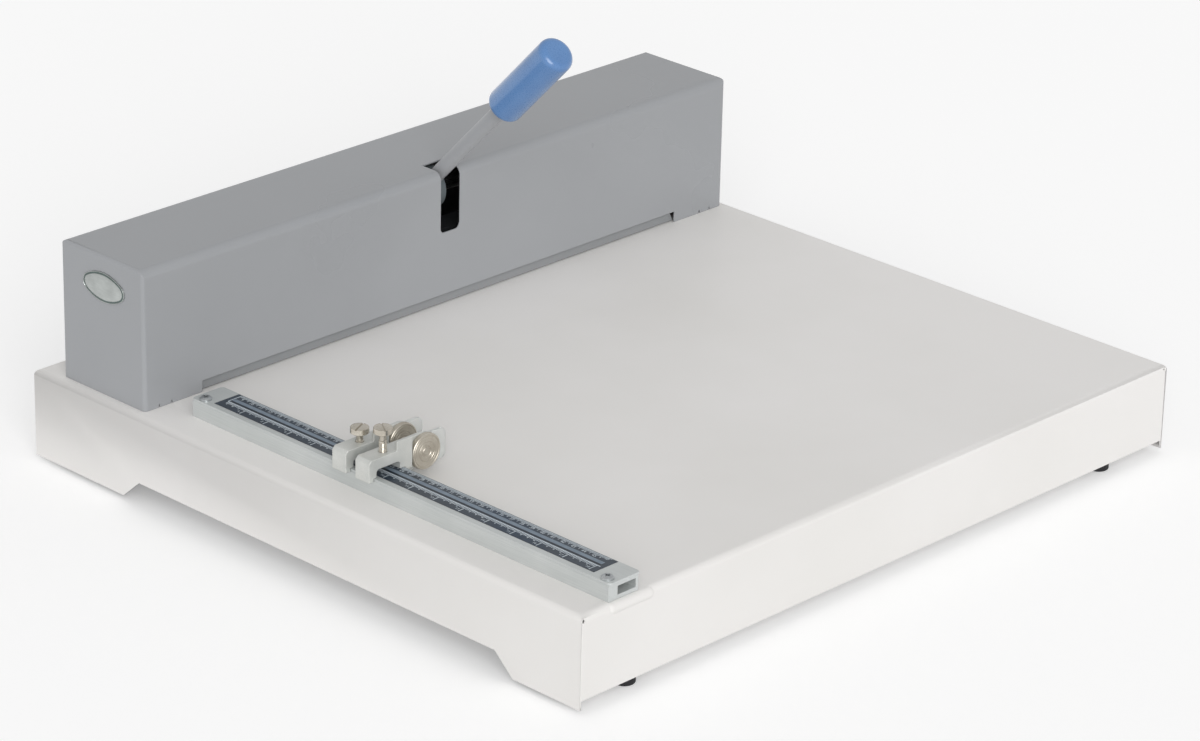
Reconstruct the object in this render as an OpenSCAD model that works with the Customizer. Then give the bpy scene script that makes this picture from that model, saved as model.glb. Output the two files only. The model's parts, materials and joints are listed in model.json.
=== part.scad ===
// Desktop paper creasing machine: folded steel base, fixed folded head cover with
// the creasing mechanism inside, a lever, and a side rail with two sliding stops.
// Frame: x to the right along the head, y from the operator to the back, z up,
// origin under the middle of the base, on the surface that the feet stand on.

/* [Base casing] */
// Width of the base, left to right
base_w = 635; // [600:5:700]
// Depth of the base, front to back
base_d = 575; // [560:5:640]
// Height of the casing, from the side panels' feet to the top
base_h = 70; // [64:1:90]
// Steel sheet thickness of the base
base_sheet = 1.5; // [1.2:0.1:2]
// Outside radius of the bends round the top
base_bend_r = 5; // [4:0.5:7]
// Height of the front and back panels' bottom edge over the side panels' feet
front_rise = 6.4; // [5:0.2:9]
// Height of the raised middle of the side panels
side_rise = 15.8; // [12:0.2:20]
// Length of the side panels' front foot along its bottom
side_foot_front = 64; // [50:1:90]
// Length of the side panels' rear foot along its bottom
side_foot_rear = 101; // [80:1:120]
// Length of the slope between a foot and the raised middle
side_slope = 18; // [12:1:24]
// Width of the two angle rails that carry the feet
foot_rail_w = 26; // [24:1:34]

/* [Feet] */
// Diameter of a rubber foot
foot_d = 16.4; // [12:0.2:20]
// Gap between the side panels' feet and the table
foot_drop = 3.7; // [3:0.1:6]
// Distance of the feet from the side panels
foot_in_x = 58.5; // [40:0.5:90]
// Distance of the feet from the front and back panels
foot_in_y = 14.5; // [12:0.5:16]

/* [Head cover] */
// Distance of the head cover's ends from the base's sides
head_in = 7.5; // [5:0.5:20]
// Depth of the head cover
head_d = 92.5; // [92:0.5:100]
// Height of the head cover over the base
head_h = 111; // [110:1:120]
// Width of the strip of base behind the head cover
head_back = 26; // [20:0.5:34]
// Steel sheet thickness of the head cover
head_sheet = 1.5; // [1.2:0.1:2]
// Outside radius of the long top bends
head_bend_r = 7; // [4:0.5:9]
// Outside radius of the end bends
head_end_r = 3.5; // [2.5:0.5:5]
// Height of the paper throat's notch in the cover
throat_h = 9.2; // [8:0.2:11]
// Width of the lever slot
slot_w = 20; // [18:0.5:24]
// Height of the lever slot's lower end over the base
slot_low = 60.5; // [56:0.5:62]
// Depth of the lever slot in the cover's top
slot_back = 22; // [21:0.5:24]

/* [Lever] */
// Height of the lever's shaft over the base
pivot_up = 88; // [87:0.5:89]
// Distance of the shaft behind the cover's front face
pivot_in = 29.5; // [29:0.5:31]
// Angle of the lever at rest over the horizontal
lever_angle = 46; // [42:1:48]
// Angle that the lever swings through
lever_swing = 66; // [50:1:66]
// Diameter of the lever rod
rod_d = 12; // [9:0.5:13]
// Diameter of the grip
grip_d = 29; // [24:1:34]
// Distance from the shaft to the grip's lower end
grip_from = 123; // [110:1:130]
// Length of the grip
grip_len = 83; // [70:1:110]
// Diameter of the hub
hub_d = 35; // [32:1:40]
// Length of the hub along the shaft
hub_len = 14; // [13:0.5:16]
// Diameter of the drive shaft
shaft_d = 14; // [12:0.5:15]

/* [Creasing mechanism] */
// Throw of the two eccentrics
throw = 5.3; // [4.5:0.1:5.4]
// Radius of the two eccentrics
cam_r = 15; // [14.6:0.1:15.2]
// Thickness of an eccentric
cam_t = 10; // [8:0.5:14]
// Distance of the eccentrics from the side frames
cam_in = 46; // [40:1:70]
// Height of the blade's edge over the base at rest
blade_gap = 5; // [4:0.1:5.2]
// Thickness of the creasing blade
blade_t = 1.5; // [1:0.1:2]
// Width of the groove in the matrix bar
groove_w = 2.6; // [2.4:0.1:3.4]
// Depth of the groove in the matrix bar
groove_deep = 2; // [1.6:0.1:3]
// Width of the matrix bar
matrix_w = 20; // [16:1:20]
// Height of the matrix bar
matrix_h = 12; // [9:0.5:12]
// Thickness of the blade beam, front to back
beam_t = 20; // [19:0.5:22]
// Height of the blade beam
beam_h = 38; // [34:1:40]
// Height of the beam's underside over the base at rest
beam_up = 16; // [15:0.5:18]
// Diameter of the guide posts
post_d = 10; // [8:0.5:10]
// Wire diameter of the return springs
wire_d = 1.6; // [1.2:0.1:1.8]
// Curls of a return spring
curls = 7; // [5:1:9]
// Thickness of the bed bar under the head
bed_h = 20; // [18:1:26]
// Depth of the bed bar, front to back
bed_d = 62; // [58:1:64]
// Thickness of the side frames
frame_t = 6; // [5:0.5:6]
// Distance of the side frames' inner faces from the head cover's ends
frame_in = 37; // [37:0.5:44]
// Distance between the paper throat's end and a side frame
frame_gap = 19; // [18:0.5:24]

/* [Side rail] */
// Distance of the rail from the left side of the base
rail_in = 29.4; // [28:0.2:34]
// Distance of the rail's end from the front of the base
rail_front = 3.5; // [3.5:0.5:10]
// Distance between the rail's rear end and the head cover
rail_back = 28; // [20:1:60]
// Width of the rail
rail_w = 29.2; // [28:0.2:31]
// Height of the rail without its top plate
rail_h = 12.4; // [12:0.2:14]
// Thickness of the rail's screwed side wall
rail_wall = 9; // [8.5:0.5:10]
// Thickness of the rail's floor
rail_floor = 3.2; // [2:0.2:4]
// Thickness of the rail's thin side wall and roof
rail_thin = 2.6; // [1.6:0.1:3]
// Thickness of the rail's top plate
plate_t = 2; // [1.6:0.1:2.5]
// Overhang of the top plate on the paper side and at both ends
plate_over = 1; // [0.5:0.1:1.5]
// Width of the scale strip on the top plate
scale_w = 24; // [20:0.5:24.5]
// Thickness of the scale strip
scale_t = 0.3; // [0.2:0.1:0.4]
// Bare length of the top plate in front of the scale strip
scale_bare_front = 20.5; // [15:0.5:24]
// Bare length of the top plate behind the scale strip
scale_bare_back = 19; // [15:0.5:22]

/* [Stops] */
// Distance of the front stop from the front of the base
stop_front_y = 241.5; // [180:0.5:260]
// Distance between the two stops
stop_apart = 24; // [22:0.5:60]
// Length of a stop along the rail
stop_len = 14.5; // [13:0.5:16]
// Height of a stop's block over the base
stop_h = 29; // [27:0.5:31]
// Height of a stop's arm over the base
arm_h = 36; // [34:0.5:38]
// Diameter of the knurled disc
disc_d = 27.5; // [24:0.5:28]
// Thickness of the knurled disc
disc_t = 4.4; // [3.5:0.1:4.6]
// Distance of the disc's axis from the rail's left side
disc_over = 51.4; // [51:0.2:54]
// Height of the disc's axis over the base
disc_up = 19.8; // [18:0.2:21]
// Distance that the swinging gauge reaches past the disc's axis
gauge_reach = 26.5; // [24:0.5:36]
// Height of the swinging gauge's top over the base
gauge_top = 29; // [27:0.5:32]
// Thickness of the swinging gauge
gauge_t = 2.6; // [2:0.1:3]
// Diameter of a thumbscrew's head
thumb_d = 13.8; // [13:0.1:15]
// Height of a thumbscrew's head
thumb_h = 4.8; // [3.5:0.1:6]
// Diameter of a thumbscrew's stem
stem_d = 6; // [5:0.1:7]
// Height that the slack front thumbscrew stands out of its seat
thumb_slack = 7.6; // [6:0.1:8]

/* [Hidden] */
$fn = 64;
over = 1;                 // cutters reach this far past what they cut
run = 0.05;               // radial clearance of a shaft or pin that turns
loose = 0.3;              // clearance between faces that pass each other
hole_play = 0.4;          // play round a screw in a clearance hole
left_x = -base_w / 2;
head_len = base_w - 2 * head_in;
front_y = -base_d / 2;
back_y = base_d / 2;
top_z = foot_drop + base_h;
left = -1;
right = 1;

// base
flange_z = foot_drop + front_rise;
foot_x = base_w / 2 - foot_in_x;
foot_y = base_d / 2 - foot_in_y;
foot_shank_d = 4;
foot_nut_d = 8;
foot_nut_h = 3.2;
foot_bore_z = flange_z - 6;
foot_rail_h = 18;         // height of a foot rail's upright leg
bead_r = 4.6;
bead_in = 3.2;            // centre of the edge bead behind the front face
bead_down = 4.65;         // and below the top
bead_from = 31;
bead_to = 67;
relief_d = 2.6;
relief_down = 3.8;

// head
head_back_y = back_y - head_back;
head_front_y = head_back_y - head_d;
head_top_z = top_z + head_h;
tab_w = 12;
tab_in = 14.3;            // from the cover's end to the tab
tab_len = 14;
slit_w = 1.2;
slit_h = 2.4;
slot_corner_r = 4;
cover_screw_in = 8;       // from the cover's face to a tab's screw
cover_screw_d = 4;
cover_screw_x = head_len / 2 - tab_in - tab_w / 2;
cover_screw_ys = [head_front_y + cover_screw_in, head_back_y - cover_screw_in];
badge_len = 46;
badge_wide = 23.4;
badge_t = 1.2;
badge_end_r = 7;
badge_in = 43.3;          // from the cover's face to the badge's middle
badge_up = 86.4;
badge_y = head_front_y + badge_in;
badge_z = top_z + badge_up;

// mechanism
pivot_y = head_front_y + pivot_in;
pivot_z = top_z + pivot_up;
frame_x = head_len / 2 - frame_in;        // inner face of a side frame
throat_w = 2 * (frame_x - frame_gap);
frame_y0 = head_front_y + head_sheet + 3; // front edge of a side frame
frame_y1 = head_back_y - 9;
frame_h = head_h - 8;
foot_flange_w = 24;
foot_flange_t = 4;
tab_gap = 2;              // frame's foot flange stands clear of the cover's tabs
bolt_d = 6;
bolt_head_d = 10;
bolt_head_h = 6;
bolt_x = frame_x + frame_t + foot_flange_w / 2;
bolt_inset = 10;
bed_y0 = head_front_y + 13.5;
bed_y1 = bed_y0 + bed_d;
bed_z1 = top_z - base_sheet;
bed_z0 = bed_z1 - bed_h;
bed_x = bolt_x + 9;
bolt_ys = [bed_y0 + bolt_inset, bed_y1 - bolt_inset];
bush_d = shaft_d + 6;
bush_flange_d = bush_d + 6;
bush_flange_t = 2;
collar_t = 3;             // shaft end past the bush
tie_d = 12;
tie_tap = 12;             // depth of a tie screw's hole in the bar
tie_y = frame_y1 - tie_d;
tie_z = pivot_z;
post_x = frame_x - 13.5;
post_deep = 12;           // depth of a post in the bed bar
post_over = 20;           // reach of a post over the resting beam
spring_r = post_d / 2 + wire_d / 2 + 0.9;
pocket_r = spring_r + wire_d / 2 + 0.5;
pocket_h = 20;
spring_h = beam_up + pocket_h;
beam_z0 = top_z + beam_up;
beam_z1 = beam_z0 + beam_h;
post_top = beam_z1 + post_over;
beam_x = post_x + 9;
cam_rest = lever_swing / 2;               // eccentrics stand level at mid stroke
cam_y = pivot_y - throw * cos(cam_rest);
cam_z = pivot_z + throw * sin(cam_rest);
cam_x = frame_x - cam_in;
follow_gap = 0.2;         // covers the coupling's 0.1 mm departure from a true sine
follow_z = cam_z - cam_r - follow_gap;
follow_t = cam_t + 2;
follow_w = 16;
follow_foot = 15;
follow_foot_t = 6;
follow_tap = 12;          // depth of a follower screw's hole in the beam
m5 = 5;
blade_slot = 10;          // depth of the blade's slot in the beam
blade_z0 = top_z + blade_gap;
blade_x = post_x - post_d / 2 - 4.5;
matrix_x = post_x - post_d / 2 - 2.5;
matrix_screw_xs = [-0.4 * throat_w, 0, 0.4 * throat_w];
blade_screw_xs = [for (i = [-2:2]) i * 0.22 * throat_w];
follow_screw_x = follow_t / 2 + follow_foot / 2;
fit = 0.1;                // gap beside a part that is let into a pocket
guide_t = 1.5;
guide_y1 = frame_y0;
guide_foot_x = throat_w / 2 + 1;          // half width of the guide's tongue at its foot
guide_neck_x = throat_w / 2 - 4.5;        // and where it leaves the plate
guide_low = 0.8;
guide_mid = 12;
guide_high = 30;
guide_screw_z = top_z + 21;
guide_screw_d = 3;
grub_d = 4;

// lever: the rod's direction in the y-z plane
module along_lever() translate([0, pivot_y, pivot_z]) rotate([90 - lever_angle, 0, 0]) children();
rod_from = shaft_d / 2 + 2;
rod_to = grip_from + grip_len - 16;
grip_end_r = 6;

// rail
rail_x = left_x + rail_in;
rail_y0 = front_y + rail_front;
rail_y1 = head_front_y - rail_back;
plate_z = top_z + rail_h;
ruler_z = plate_z + plate_t;
plate_corner_r = 3;
plate_x1 = rail_x + rail_w + plate_over;
scale_in = 5.4;           // bare strip of plate left of the scale
rail_screw_in = 5.6;      // from the rail's left side to a screw
rail_screw_front = 6.5;     // from the rail's near end to its screw
rail_screw_back = 8.5;      // and from its rear end
rail_screw_d = 4;
rail_head_d = 9.4;
rail_head_h = 2.4;
rail_screw_ys = [rail_y0 + rail_screw_front, rail_y1 - rail_screw_back];
nut_d = 8;
nut_h = 3.2;

// stops
stop_ys = [front_y + stop_front_y, front_y + stop_front_y + stop_apart];
lip_t = 4.6;
lip_down = 2.5;           // reach of the lip below the ruler's top
seat = 0.15;              // slip between a stop and the ruler
stop_x0 = rail_x - loose - lip_t;
arch_x0 = rail_x + 2.6;
arch_x1 = rail_x + rail_w - 4;
arch_up = 6;
arch_r = 2.5;
stop_chamfer = 2.5;
thumb_in = 15.1;          // from the rail's left side to a thumbscrew
thumb_seat = 6.5;         // stem that shows under the head when it is screwed home
thumb_x = rail_x + thumb_in;
arm_x0 = thumb_x + thumb_d / 2 + loose;
arm_t = 2.4;
lug_t = 3.4;
lug_r = disc_d / 2 - 0.6;
disc_x = rail_x + disc_over;
stop_x1 = disc_x - disc_d / 2 - loose;
disc_z = top_z + disc_up;
disc_y = -stop_len / 2;   // disc's front face from the stop's middle
lug_y = disc_y + disc_t + loose;
gauge_y = lug_y + lug_t + loose;
gauge_low = 5;
gauge_corner_r = 5;
gauge_left = 2.6;         // reach of the gauge's blade on the rail side of its axis
gauge_eye_r = 9;
pin_d = 5;
pin_head_d = 9;
pin_head_t = 1.8;

module along_x(x0, x1) translate([x0, 0, 0]) rotate([90, 0, 90]) linear_extrude(x1 - x0) children();
module along_y(y0, y1) translate([0, y1, 0]) rotate([90, 0, 0]) linear_extrude(y1 - y0) children();
module box(x0, y0, z0, x1, y1, z1) translate([x0, y0, z0]) cube([x1 - x0, y1 - y0, z1 - z0]);
module rod_z(x, y, z0, z1, d) translate([x, y, z0]) cylinder(d = d, h = z1 - z0);
module rod_y(x, y0, y1, z, d) translate([x, y0, z]) rotate([-90, 0, 0]) cylinder(d = d, h = y1 - y0);
module rod_x(x0, x1, y, z, d) translate([x0, y, z]) rotate([0, 90, 0]) cylinder(d = d, h = x1 - x0);
module mirrored(side) mirror([side == left ? 1 : 0, 0, 0]) children();
module both_sides() { children(); mirror([1, 0, 0]) children(); }

module round_rect(x0, y0, x1, y1, r) {
  translate([x0 + r, y0]) square([x1 - x0 - 2 * r, y1 - y0]);
  translate([x0, y0 + r]) square([x1 - x0, y1 - y0 - 2 * r]);
  for (x = [x0 + r, x1 - r], y = [y0 + r, y1 - r]) translate([x, y]) circle(r);
}

module round_top(x0, y0, x1, y1, r) {
  translate([x0, y0]) square([x1 - x0, y1 - y0 - r]);
  translate([x0 + r, y0]) square([x1 - x0 - 2 * r, y1 - y0]);
  for (x = [x0 + r, x1 - r]) translate([x, y1 - r]) circle(r);
}

// Base ---------------------------------------------------------------

module casing_block(inset) {
  z0 = inset > 0 ? foot_drop - over : foot_drop;
  intersection() {
    along_y(front_y + inset, back_y - inset)
      round_top(left_x + inset, z0, -left_x - inset, top_z - inset, base_bend_r - inset);
    along_x(left_x + inset, -left_x - inset)
      round_top(front_y + inset, z0, back_y - inset, top_z - inset, base_bend_r - inset);
  }
}

module bead(r) {
  y = front_y + bead_in;
  z = top_z - bead_down;
  rod_x(left_x + bead_from, left_x + bead_to, y, z, 2 * r);
  for (x = [bead_from, bead_to]) translate([left_x + x, y, z]) sphere(r);
}

module side_cut() {
  z1 = foot_drop + side_rise;
  y0 = front_y + side_foot_front;
  y1 = back_y - side_foot_rear;
  along_x(left_x - over, -left_x + over)
    polygon([[y0, foot_drop], [y0 + side_slope, z1], [y1 - side_slope, z1], [y1, foot_drop],
      [y1, foot_drop - over], [y0, foot_drop - over]]);
}

module casing_holes() {
  x = matrix_x + fit;
  y = matrix_w / 2 + fit;
  box(-x, pivot_y - y, top_z - 2 * base_sheet, x, pivot_y + y, top_z + over);
  both_sides() {
    rod_z(post_x, pivot_y, top_z - 2 * base_sheet, top_z + over, post_d + hole_play);
    for (y = bolt_ys) rod_z(bolt_x, y, top_z - 2 * base_sheet, top_z + over, bolt_d + hole_play);
    for (y = cover_screw_ys) rod_z(cover_screw_x, y, top_z - 2 * base_sheet, top_z + over,
      cover_screw_d + hole_play);
  }
  for (y = rail_screw_ys) rod_z(rail_x + rail_screw_in, y, top_z - 2 * base_sheet, top_z + over,
    rail_screw_d + hole_play);
  both_sides() rod_y(left_x + relief_d, front_y - over, front_y + 2 * base_sheet,
    top_z - relief_down, relief_d);
}

module base_casing() color("#e6e2dd") difference() {
  union() { casing_block(0); bead(bead_r); }
  casing_block(base_sheet);
  bead(bead_r - base_sheet);
  side_cut();
  box(left_x + base_sheet, front_y - over, foot_drop - over, -left_x - base_sheet, back_y + over, flange_z);
  casing_holes();
}

// angle spot-welded inside the front or back panel
module foot_rail_at(y, side) color("#e6e2dd") difference() {
  x = base_w / 2 - base_sheet - hole_play;
  mirror([0, side == left ? 0 : 1, 0]) {
    box(-x, front_y + base_sheet, flange_z, x, front_y + foot_rail_w, flange_z + base_sheet);
    box(-x, front_y + base_sheet, flange_z, x, front_y + 2 * base_sheet, flange_z + foot_rail_h);
  }
  for (x = [-foot_x, foot_x])
    rod_z(x, y, flange_z - over, flange_z + 2 * base_sheet, foot_shank_d + hole_play);
}

module foot_at(x, y) color("#17181b") difference() {
  union() {
    rod_z(x, y, 1, flange_z, foot_d);
    translate([x, y, 0]) cylinder(d1 = foot_d - 2, d2 = foot_d, h = 1);
  }
  rod_z(x, y, foot_bore_z, flange_z + over, foot_shank_d);
}

module foot_screws() color("silver") for (x = [-foot_x, foot_x], y = [-foot_y, foot_y]) {
  rod_z(x, y, foot_bore_z, flange_z + base_sheet + foot_nut_h + 1, foot_shank_d);
  translate([x, y, flange_z + base_sheet]) cylinder(d = foot_nut_d, h = foot_nut_h, $fn = 6);
}

// Head cover ----------------------------------------------------------

module cover_block(inset) {
  x = head_len / 2 - inset;
  y0 = head_front_y + inset;
  y1 = head_back_y - inset;
  z0 = inset > 0 ? top_z - over : top_z;
  z1 = head_top_z - inset;
  intersection() {
    along_x(-x, x) round_top(y0, z0, y1, z1, head_bend_r - inset);
    along_y(y0, y1) round_top(-x, z0, x, z1, head_end_r - inset);
    translate([0, 0, z0]) linear_extrude(z1 - z0)
      round_rect(-x, y0, x, y1, head_end_r - inset);
  }
}

module lever_slot() {
  along_y(head_front_y - over, head_front_y + slot_back)
    round_rect(-slot_w / 2, top_z + slot_low, slot_w / 2, head_top_z + slot_w, slot_corner_r);
}

module cover_tabs() both_sides() for (y = [head_front_y, head_back_y - tab_len])
  box(head_len / 2 - tab_in - tab_w, y, top_z, head_len / 2 - tab_in, y + tab_len, top_z + head_sheet);

module tab_slits() both_sides() for (x = [tab_in, tab_in + tab_w], y = [head_front_y, head_back_y])
  box(head_len / 2 - x - slit_w / 2, y - 2 * head_sheet, top_z - over,
    head_len / 2 - x + slit_w / 2, y + 2 * head_sheet, top_z + slit_h);

module head_cover() color("#9c9fa2") difference() {
  union() {
    difference() {
      cover_block(0);
      cover_block(head_sheet);
      lever_slot();
      along_y(head_front_y - over, head_back_y + over)
        translate([-throat_w / 2, top_z - over]) square([throat_w, throat_h + over]);
    }
    cover_tabs();
  }
  tab_slits();
  both_sides() for (y = cover_screw_ys)
    rod_z(cover_screw_x, y, top_z - over, top_z + 2 * head_sheet, cover_screw_d);
}

module cover_screws() color("silver") both_sides() for (y = cover_screw_ys) {
  rod_z(cover_screw_x, y, top_z - base_sheet - 2, top_z + head_sheet + 3, cover_screw_d);
  rod_z(cover_screw_x, y, top_z - base_sheet - 2.4, top_z - base_sheet, 1.8 * cover_screw_d);
}

// oval of four arcs, badge_len by badge_wide
module oval(a, b, r) {
  big = (pow(a - r, 2) + b * b - r * r) / (2 * (b - r));
  reach = (a - r) * big / (big - r);
  intersection() {
    translate([0, b - big]) circle(big, $fn = 180);
    translate([0, big - b]) circle(big, $fn = 180);
    square([2 * reach, 2 * b + over], center = true);
  }
  for (x = [r - a, a - r]) translate([x, 0]) circle(r);
}

module oval_plate() color("#b9bdbd")
  translate([-head_len / 2 - badge_t, badge_y, badge_z]) rotate([90, 0, 90]) {
    linear_extrude(badge_t) oval(badge_len / 2, badge_wide / 2, badge_end_r);
  }

// Bed, frames and guides -----------------------------------------------

module bed_bar() color("#5d6166") difference() {
  box(-bed_x, bed_y0, bed_z0, bed_x, bed_y1, bed_z1);
  box(-matrix_x - fit, pivot_y - matrix_w / 2 - fit, top_z - matrix_h,
    matrix_x + fit, pivot_y + matrix_w / 2 + fit, top_z + over);
  both_sides() {
    rod_z(post_x, pivot_y, bed_z1 - post_deep, bed_z1 + over, post_d);
    for (y = bolt_ys) rod_z(bolt_x, y, bed_z0 - over, bed_z1 + over, bolt_d);
  }
  for (x = matrix_screw_xs) rod_z(x, pivot_y, bed_z0 - over, bed_z1, m5 + hole_play);
}

module matrix_bar() color("#8d9194") difference() {
  box(-matrix_x, pivot_y - matrix_w / 2, top_z - matrix_h, matrix_x, pivot_y + matrix_w / 2, top_z);
  box(-matrix_x - over, pivot_y - groove_w / 2, top_z - groove_deep,
    matrix_x + over, pivot_y + groove_w / 2, top_z + over);
  for (x = matrix_screw_xs) rod_z(x, pivot_y, top_z - matrix_h - over, top_z - matrix_h + 6, m5);
}

module matrix_screws() color("silver") for (x = matrix_screw_xs) {
  rod_z(x, pivot_y, bed_z0 - 1, top_z - matrix_h + 6, m5);
  rod_z(x, pivot_y, bed_z0 - m5, bed_z0, 1.7 * m5);
}

module frame_at(side) color("#6d7277") mirrored(side) difference() {
  union() {
    box(frame_x, frame_y0, top_z, frame_x + frame_t, frame_y1, top_z + frame_h);
    box(frame_x, bed_y0 + tab_gap, top_z, frame_x + frame_t + foot_flange_w, bed_y1, top_z + foot_flange_t);
  }
  rod_x(frame_x - over, frame_x + frame_t + over, pivot_y, pivot_z, bush_d);
  rod_x(frame_x - over, frame_x + frame_t + over, tie_y, tie_z, m5 + hole_play);
  for (y = bolt_ys) rod_z(bolt_x, y, top_z - over, top_z + foot_flange_t + over, bolt_d + hole_play);
  rod_y(frame_x + frame_t / 2, frame_y0 - over, frame_y0 + 8, guide_screw_z, guide_screw_d);
}

module frame_bolts() color("#3a3c40") both_sides() for (y = bolt_ys) {
  rod_z(bolt_x, y, bed_z0 + 3, top_z + foot_flange_t + 1, bolt_d);
  rod_z(bolt_x, y, top_z + foot_flange_t, top_z + foot_flange_t + bolt_head_h, bolt_head_d);
}

module tie_bar() color("#8d9194") difference() {
  rod_x(-frame_x, frame_x, tie_y, tie_z, tie_d);
  both_sides() rod_x(frame_x - tie_tap, frame_x + over, tie_y, tie_z, m5);
}

module tie_screws() color("#3a3c40") both_sides() {
  rod_x(frame_x - 0.8 * tie_tap, frame_x + frame_t + 1, tie_y, tie_z, m5);
  rod_x(frame_x + frame_t, frame_x + frame_t + m5, tie_y, tie_z, 1.7 * m5);
}

module bush_at(side) color("#b08d4a") mirrored(side) difference() {
  union() {
    rod_x(frame_x, frame_x + frame_t + 2, pivot_y, pivot_z, bush_d);
    rod_x(frame_x - bush_flange_t, frame_x, pivot_y, pivot_z, bush_flange_d);
  }
  rod_x(frame_x - over - bush_flange_t, frame_x + frame_t + 2 + over, pivot_y, pivot_z, shaft_d + 2 * run);
}

module paper_guide() color("#8f9294") difference() {
  union() {
    box(-frame_x - frame_t, guide_y1 - guide_t, top_z + guide_mid,
      frame_x + frame_t, guide_y1, top_z + guide_high);
    along_y(guide_y1 - guide_t, guide_y1)
      polygon([[-guide_foot_x, top_z + guide_low], [guide_foot_x, top_z + guide_low],
        [guide_neck_x, top_z + guide_mid], [-guide_neck_x, top_z + guide_mid]]);
  }
  both_sides() rod_y(frame_x + frame_t / 2, guide_y1 - guide_t - over, guide_y1 + over,
    guide_screw_z, guide_screw_d + hole_play / 2);
}

module guide_screws() color("silver") both_sides() {
  rod_y(frame_x + frame_t / 2, guide_y1 - guide_t - 1, guide_y1 + 6, guide_screw_z, guide_screw_d);
  rod_y(frame_x + frame_t / 2, guide_y1 - guide_t - 1.3, guide_y1 - guide_t, guide_screw_z,
    1.8 * guide_screw_d);
}

module post_at(side) color("#c4c7ca")
  rod_z(side * post_x, pivot_y, bed_z1 - post_deep, post_top, post_d);

// one unbroken wire: a ring of wire_sides points every 1/curl_rings of a curl
wire_sides = 6;
curl_rings = 8;
rings = curls * curl_rings;
wire_rise = spring_h - wire_d - 2 * seat;

function wire_point(i, j) =
  let (a = 360 * i / curl_rings, b = 360 * j / wire_sides, r = spring_r + wire_d / 2 * cos(b))
  [r * cos(a), r * sin(a), wire_d / 2 + seat + wire_rise * i / rings + wire_d / 2 * sin(b)];

module spring_at(side) color("silver") translate([side * post_x, pivot_y, top_z]) polyhedron(
  points = [for (i = [0:rings], j = [0:wire_sides - 1]) wire_point(i, j)],
  faces = concat(
    [[for (j = [0:wire_sides - 1]) j]],
    [[for (j = [wire_sides - 1:-1:0]) rings * wire_sides + j]],
    [for (i = [0:rings - 1], j = [0:wire_sides - 1], half = [0, 1])
      let (a = i * wire_sides + j, b = i * wire_sides + (j + 1) % wire_sides)
      half == 0 ? [a, a + wire_sides, b] : [b, a + wire_sides, b + wire_sides]]));
echo(spring_gap = wire_rise / curls - wire_d);

// Lever and shaft -------------------------------------------------------

module drive_shaft() color("#a9acaf")
  rod_x(-frame_x - frame_t - 2 - collar_t, frame_x + frame_t + 2 + collar_t, pivot_y, pivot_z, shaft_d);

module lever_hub() color("#7f8487") difference() {
  rod_x(-hub_len / 2, hub_len / 2, pivot_y, pivot_z, hub_d);
  rod_x(-hub_len, hub_len, pivot_y, pivot_z, shaft_d);
  along_lever() translate([0, 0, rod_from]) cylinder(d = rod_d, h = hub_d);
  along_lever() translate([0, 0, -hub_d]) cylinder(d = m5, h = hub_d);
}

module lever_rod() color("#a2a5a8")
  along_lever() translate([0, 0, rod_from]) cylinder(d = rod_d, h = rod_to - rod_from);

module lever_grip() color("#4b78b5") along_lever() rotate_extrude() difference() {
  union() {
    translate([0, grip_from]) square([grip_d / 2 - grip_end_r, grip_len]);
    translate([0, grip_from + grip_end_r]) square([grip_d / 2, grip_len - 2 * grip_end_r]);
    for (z = [grip_from + grip_end_r, grip_from + grip_len - grip_end_r])
      translate([grip_d / 2 - grip_end_r, z]) circle(grip_end_r);
  }
  translate([-over - grip_d, 0]) square([over + grip_d, 2 * grip_from]);
  translate([0, grip_from - over]) square([rod_d / 2, rod_to - grip_from + over]);
}

module cam_at(side) color("#8d9194") difference() {
  rod_x(side * cam_x - cam_t / 2, side * cam_x + cam_t / 2, cam_y, cam_z, 2 * cam_r);
  rod_x(side * cam_x - cam_t, side * cam_x + cam_t, pivot_y, pivot_z, shaft_d);
  translate([side * cam_x, pivot_y, pivot_z]) rotate([90 - cam_rest, 0, 0])
    cylinder(d = grub_d, h = cam_r + throw + over);
}

module set_screws() color("#3a3c40") {
  along_lever() translate([0, 0, -hub_d / 2 + 1]) cylinder(d = m5, h = (hub_d - shaft_d) / 2 - 1);
  for (side = [left, right]) translate([side * cam_x, pivot_y, pivot_z]) rotate([90 - cam_rest, 0, 0])
    translate([0, 0, shaft_d / 2]) cylinder(d = grub_d, h = cam_r + throw - shaft_d / 2 - 1);
}

// Blade beam -------------------------------------------------------------

module blade_beam() color("#787d82") difference() {
  box(-beam_x, pivot_y - beam_t / 2, beam_z0, beam_x, pivot_y + beam_t / 2, beam_z1);
  both_sides() {
    rod_z(post_x, pivot_y, beam_z0 - over, beam_z1 + over, post_d + 2 * run);
    rod_z(post_x, pivot_y, beam_z0 - over, beam_z0 + pocket_h, 2 * pocket_r);
    rod_z(cam_x - follow_screw_x, pivot_y, beam_z1 - follow_tap, beam_z1 + over, m5);
  }
  box(-blade_x, pivot_y - blade_t / 2, beam_z0 - over,
    blade_x, pivot_y + blade_t / 2, beam_z0 + blade_slot);
  for (x = blade_screw_xs)
    rod_y(x, pivot_y, pivot_y + beam_t / 2 + over, beam_z0 + blade_slot / 2, grub_d);
}

module follower_at(side) color("#9a9da0") mirrored(side) difference() {
  union() {
    box(cam_x - follow_t / 2, pivot_y - follow_w / 2, beam_z1, cam_x + follow_t / 2,
      pivot_y + follow_w / 2, follow_z);
    box(cam_x - follow_t / 2 - follow_foot, pivot_y - follow_w / 2, beam_z1, cam_x,
      pivot_y + follow_w / 2, beam_z1 + follow_foot_t);
  }
  rod_z(cam_x - follow_screw_x, pivot_y, beam_z1 - over, beam_z1 + follow_foot_t + over, m5 + hole_play);
}

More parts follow.
